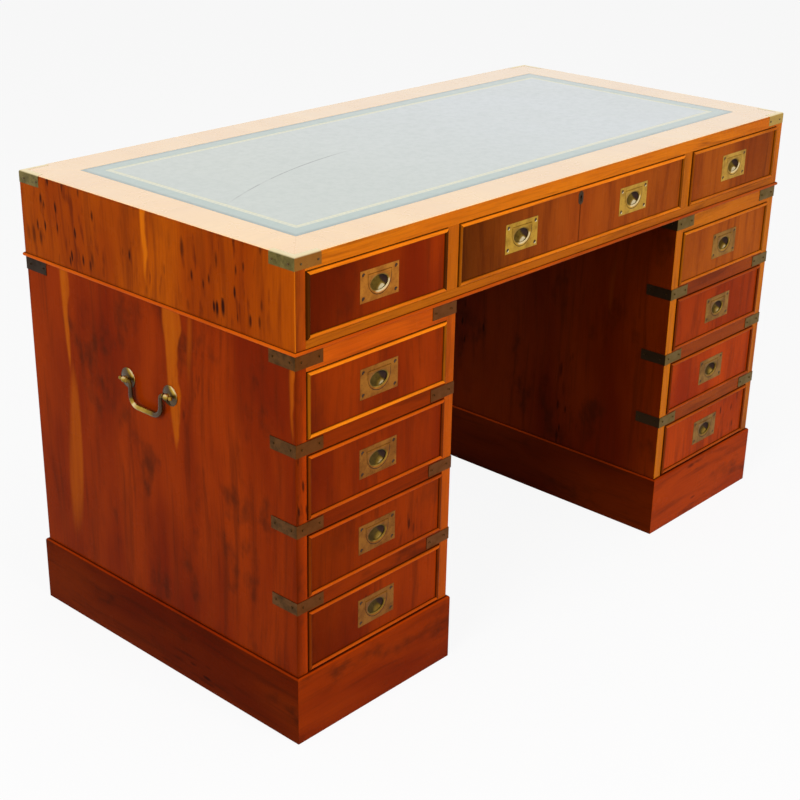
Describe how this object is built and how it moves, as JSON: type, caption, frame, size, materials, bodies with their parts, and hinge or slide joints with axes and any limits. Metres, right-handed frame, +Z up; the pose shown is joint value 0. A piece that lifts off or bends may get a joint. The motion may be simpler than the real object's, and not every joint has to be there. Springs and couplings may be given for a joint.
{
  "type": "campaign desk",
  "caption": "Twin-pedestal campaign desk in yew veneer with an inset leather top, flush brass pulls, corner straps and carrying handles.",
  "frame": {"origin": "on the floor, under the middle of the desk", "axes": "+X to the right along the desk's width as its user sees it, +Y to the back, +Z up"},
  "size_m": [1.2884, 0.6254, 0.762],
  "materials": {
    "yew": "polished yew veneer",
    "yew_dark": "dark polished yew",
    "pale_timber": "unpolished pale secondary timber",
    "brass": "polished, lightly aged brass",
    "aged_brass": "dull patinated brass",
    "leather": "tooled hide with a gold line"
  },
  "bodies": {
    "desk_case": {"top_board": "yew", "leather_top": "leather", "frieze_case": "yew", "left_pedestal_case": "yew", "right_pedestal_case": "yew", "left_plinth": "yew_dark", "right_plinth": "yew_dark", "drawer_runners": "pale_timber", "top_corner_caps": "aged_brass", "pedestal_straps": "aged_brass", "carry_handle_posts": "brass"},
    "left_drawer_1": {"left_drawer_1_front": "yew", "left_drawer_1_box": "pale_timber", "left_drawer_1_pull_plate": "brass"},
    "left_drawer_1_pull_tongue": {"left_drawer_1_pull_tongue": "brass"},
    "left_drawer_2": {"left_drawer_2_front": "yew", "left_drawer_2_box": "pale_timber", "left_drawer_2_pull_plate": "brass"},
    "left_drawer_2_pull_tongue": {"left_drawer_2_pull_tongue": "brass"},
    "left_drawer_3": {"left_drawer_3_front": "yew", "left_drawer_3_box": "pale_timber", "left_drawer_3_pull_plate": "brass"},
    "left_drawer_3_pull_tongue": {"left_drawer_3_pull_tongue": "brass"},
    "left_drawer_4": {"left_drawer_4_front": "yew", "left_drawer_4_box": "pale_timber", "left_drawer_4_pull_plate": "brass"},
    "left_drawer_4_pull_tongue": {"left_drawer_4_pull_tongue": "brass"},
    "right_drawer_1": {"right_drawer_1_front": "yew", "right_drawer_1_box": "pale_timber", "right_drawer_1_pull_plate": "brass"},
    "right_drawer_1_pull_tongue": {"right_drawer_1_pull_tongue": "brass"},
    "right_drawer_2": {"right_drawer_2_front": "yew", "right_drawer_2_box": "pale_timber", "right_drawer_2_pull_plate": "brass"},
    "right_drawer_2_pull_tongue": {"right_drawer_2_pull_tongue": "brass"},
    "right_drawer_3": {"right_drawer_3_front": "yew", "right_drawer_3_box": "pale_timber", "right_drawer_3_pull_plate": "brass"},
    "right_drawer_3_pull_tongue": {"right_drawer_3_pull_tongue": "brass"},
    "right_drawer_4": {"right_drawer_4_front": "yew", "right_drawer_4_box": "pale_timber", "right_drawer_4_pull_plate": "brass"},
    "right_drawer_4_pull_tongue": {"right_drawer_4_pull_tongue": "brass"},
    "left_frieze_drawer": {"left_frieze_drawer_front": "yew", "left_frieze_drawer_box": "pale_timber", "left_frieze_drawer_pull_plate": "brass"},
    "left_frieze_drawer_pull_tongue": {"left_frieze_drawer_pull_tongue": "brass"},
    "centre_frieze_drawer": {"centre_frieze_drawer_front": "yew", "centre_frieze_drawer_box": "pale_timber", "centre_frieze_drawer_pull_plate": "brass", "lock_case": "brass"},
    "centre_frieze_drawer_pull_tongue_left": {"centre_frieze_drawer_pull_tongue_left": "brass"},
    "centre_frieze_drawer_pull_tongue_right": {"centre_frieze_drawer_pull_tongue_right": "brass"},
    "right_frieze_drawer": {"right_frieze_drawer_front": "yew", "right_frieze_drawer_box": "pale_timber", "right_frieze_drawer_pull_plate": "brass"},
    "right_frieze_drawer_pull_tongue": {"right_frieze_drawer_pull_tongue": "brass"},
    "lock_bolt": {"lock_bolt": "brass"},
    "left_carry_bail": {"left_carry_bail": "brass"},
    "right_carry_bail": {"right_carry_bail": "brass"}
  },
  "joints": [
    {"name": "left_drawer_1_slide", "type": "slide", "parent": "desk_case", "child": "left_drawer_1", "axis": [0, -1, 0], "range_m": [0, 0.4]},
    {"name": "left_drawer_1_pull_tongue_hinge", "type": "hinge", "parent": "left_drawer_1", "child": "left_drawer_1_pull_tongue", "pos_m": [-0.4652, -0.3067, 0.5578], "axis": [-1, 0, 0], "range_deg": [0, 88]},
    {"name": "left_drawer_2_slide", "type": "slide", "parent": "desk_case", "child": "left_drawer_2", "axis": [0, -1, 0], "range_m": [0, 0.4]},
    {"name": "left_drawer_2_pull_tongue_hinge", "type": "hinge", "parent": "left_drawer_2", "child": "left_drawer_2_pull_tongue", "pos_m": [-0.4652, -0.3067, 0.4323], "axis": [-1, 0, 0], "range_deg": [0, 88]},
    {"name": "left_drawer_3_slide", "type": "slide", "parent": "desk_case", "child": "left_drawer_3", "axis": [0, -1, 0], "range_m": [0, 0.4]},
    {"name": "left_drawer_3_pull_tongue_hinge", "type": "hinge", "parent": "left_drawer_3", "child": "left_drawer_3_pull_tongue", "pos_m": [-0.4652, -0.3067, 0.3068], "axis": [-1, 0, 0], "range_deg": [0, 88]},
    {"name": "left_drawer_4_slide", "type": "slide", "parent": "desk_case", "child": "left_drawer_4", "axis": [0, -1, 0], "range_m": [0, 0.4]},
    {"name": "left_drawer_4_pull_tongue_hinge", "type": "hinge", "parent": "left_drawer_4", "child": "left_drawer_4_pull_tongue", "pos_m": [-0.4652, -0.3067, 0.1813], "axis": [-1, 0, 0], "range_deg": [0, 88]},
    {"name": "right_drawer_1_slide", "type": "slide", "parent": "desk_case", "child": "right_drawer_1", "axis": [0, -1, 0], "range_m": [0, 0.4]},
    {"name": "right_drawer_1_pull_tongue_hinge", "type": "hinge", "parent": "right_drawer_1", "child": "right_drawer_1_pull_tongue", "pos_m": [0.4652, -0.3067, 0.5578], "axis": [-1, 0, 0], "range_deg": [0, 88]},
    {"name": "right_drawer_2_slide", "type": "slide", "parent": "desk_case", "child": "right_drawer_2", "axis": [0, -1, 0], "range_m": [0, 0.4]},
    {"name": "right_drawer_2_pull_tongue_hinge", "type": "hinge", "parent": "right_drawer_2", "child": "right_drawer_2_pull_tongue", "pos_m": [0.4652, -0.3067, 0.4323], "axis": [-1, 0, 0], "range_deg": [0, 88]},
    {"name": "right_drawer_3_slide", "type": "slide", "parent": "desk_case", "child": "right_drawer_3", "axis": [0, -1, 0], "range_m": [0, 0.4]},
    {"name": "right_drawer_3_pull_tongue_hinge", "type": "hinge", "parent": "right_drawer_3", "child": "right_drawer_3_pull_tongue", "pos_m": [0.4652, -0.3067, 0.3068], "axis": [-1, 0, 0], "range_deg": [0, 88]},
    {"name": "right_drawer_4_slide", "type": "slide", "parent": "desk_case", "child": "right_drawer_4", "axis": [0, -1, 0], "range_m": [0, 0.4]},
    {"name": "right_drawer_4_pull_tongue_hinge", "type": "hinge", "parent": "right_drawer_4", "child": "right_drawer_4_pull_tongue", "pos_m": [0.4652, -0.3067, 0.1813], "axis": [-1, 0, 0], "range_deg": [0, 88]},
    {"name": "left_frieze_drawer_slide", "type": "slide", "parent": "desk_case", "child": "left_frieze_drawer", "axis": [0, -1, 0], "range_m": [0, 0.4]},
    {"name": "left_frieze_drawer_pull_tongue_hinge", "type": "hinge", "parent": "left_frieze_drawer", "child": "left_frieze_drawer_pull_tongue", "pos_m": [-0.46825, -0.308, 0.7043], "axis": [-1, 0, 0], "range_deg": [0, 88]},
    {"name": "centre_frieze_drawer_slide", "type": "slide", "parent": "desk_case", "child": "centre_frieze_drawer", "axis": [0, -1, 0], "range_m": [0, 0.4]},
    {"name": "centre_frieze_drawer_pull_tongue_left_hinge", "type": "hinge", "parent": "centre_frieze_drawer", "child": "centre_frieze_drawer_pull_tongue_left", "pos_m": [-0.15, -0.308, 0.7043], "axis": [-1, 0, 0], "range_deg": [0, 88]},
    {"name": "centre_frieze_drawer_pull_tongue_right_hinge", "type": "hinge", "parent": "centre_frieze_drawer", "child": "centre_frieze_drawer_pull_tongue_right", "pos_m": [0.15, -0.308, 0.7043], "axis": [-1, 0, 0], "range_deg": [0, 88]},
    {"name": "right_frieze_drawer_slide", "type": "slide", "parent": "desk_case", "child": "right_frieze_drawer", "axis": [0, -1, 0], "range_m": [0, 0.4]},
    {"name": "right_frieze_drawer_pull_tongue_hinge", "type": "hinge", "parent": "right_frieze_drawer", "child": "right_frieze_drawer_pull_tongue", "pos_m": [0.46825, -0.308, 0.7043], "axis": [-1, 0, 0], "range_deg": [0, 88]},
    {"name": "lock_bolt_slide", "type": "slide", "parent": "centre_frieze_drawer", "child": "lock_bolt", "axis": [0, 0, 1], "range_m": [0, 0.008]},
    {"name": "left_bail_hinge", "type": "hinge", "parent": "desk_case", "child": "left_carry_bail", "pos_m": [-0.6387, 0.011, 0.4845], "axis": [0, 1, 0], "range_deg": [0, 170]},
    {"name": "right_bail_hinge", "type": "hinge", "parent": "desk_case", "child": "right_carry_bail", "pos_m": [0.6387, 0.011, 0.4845], "axis": [0, -1, 0], "range_deg": [0, 170]}
  ]
}
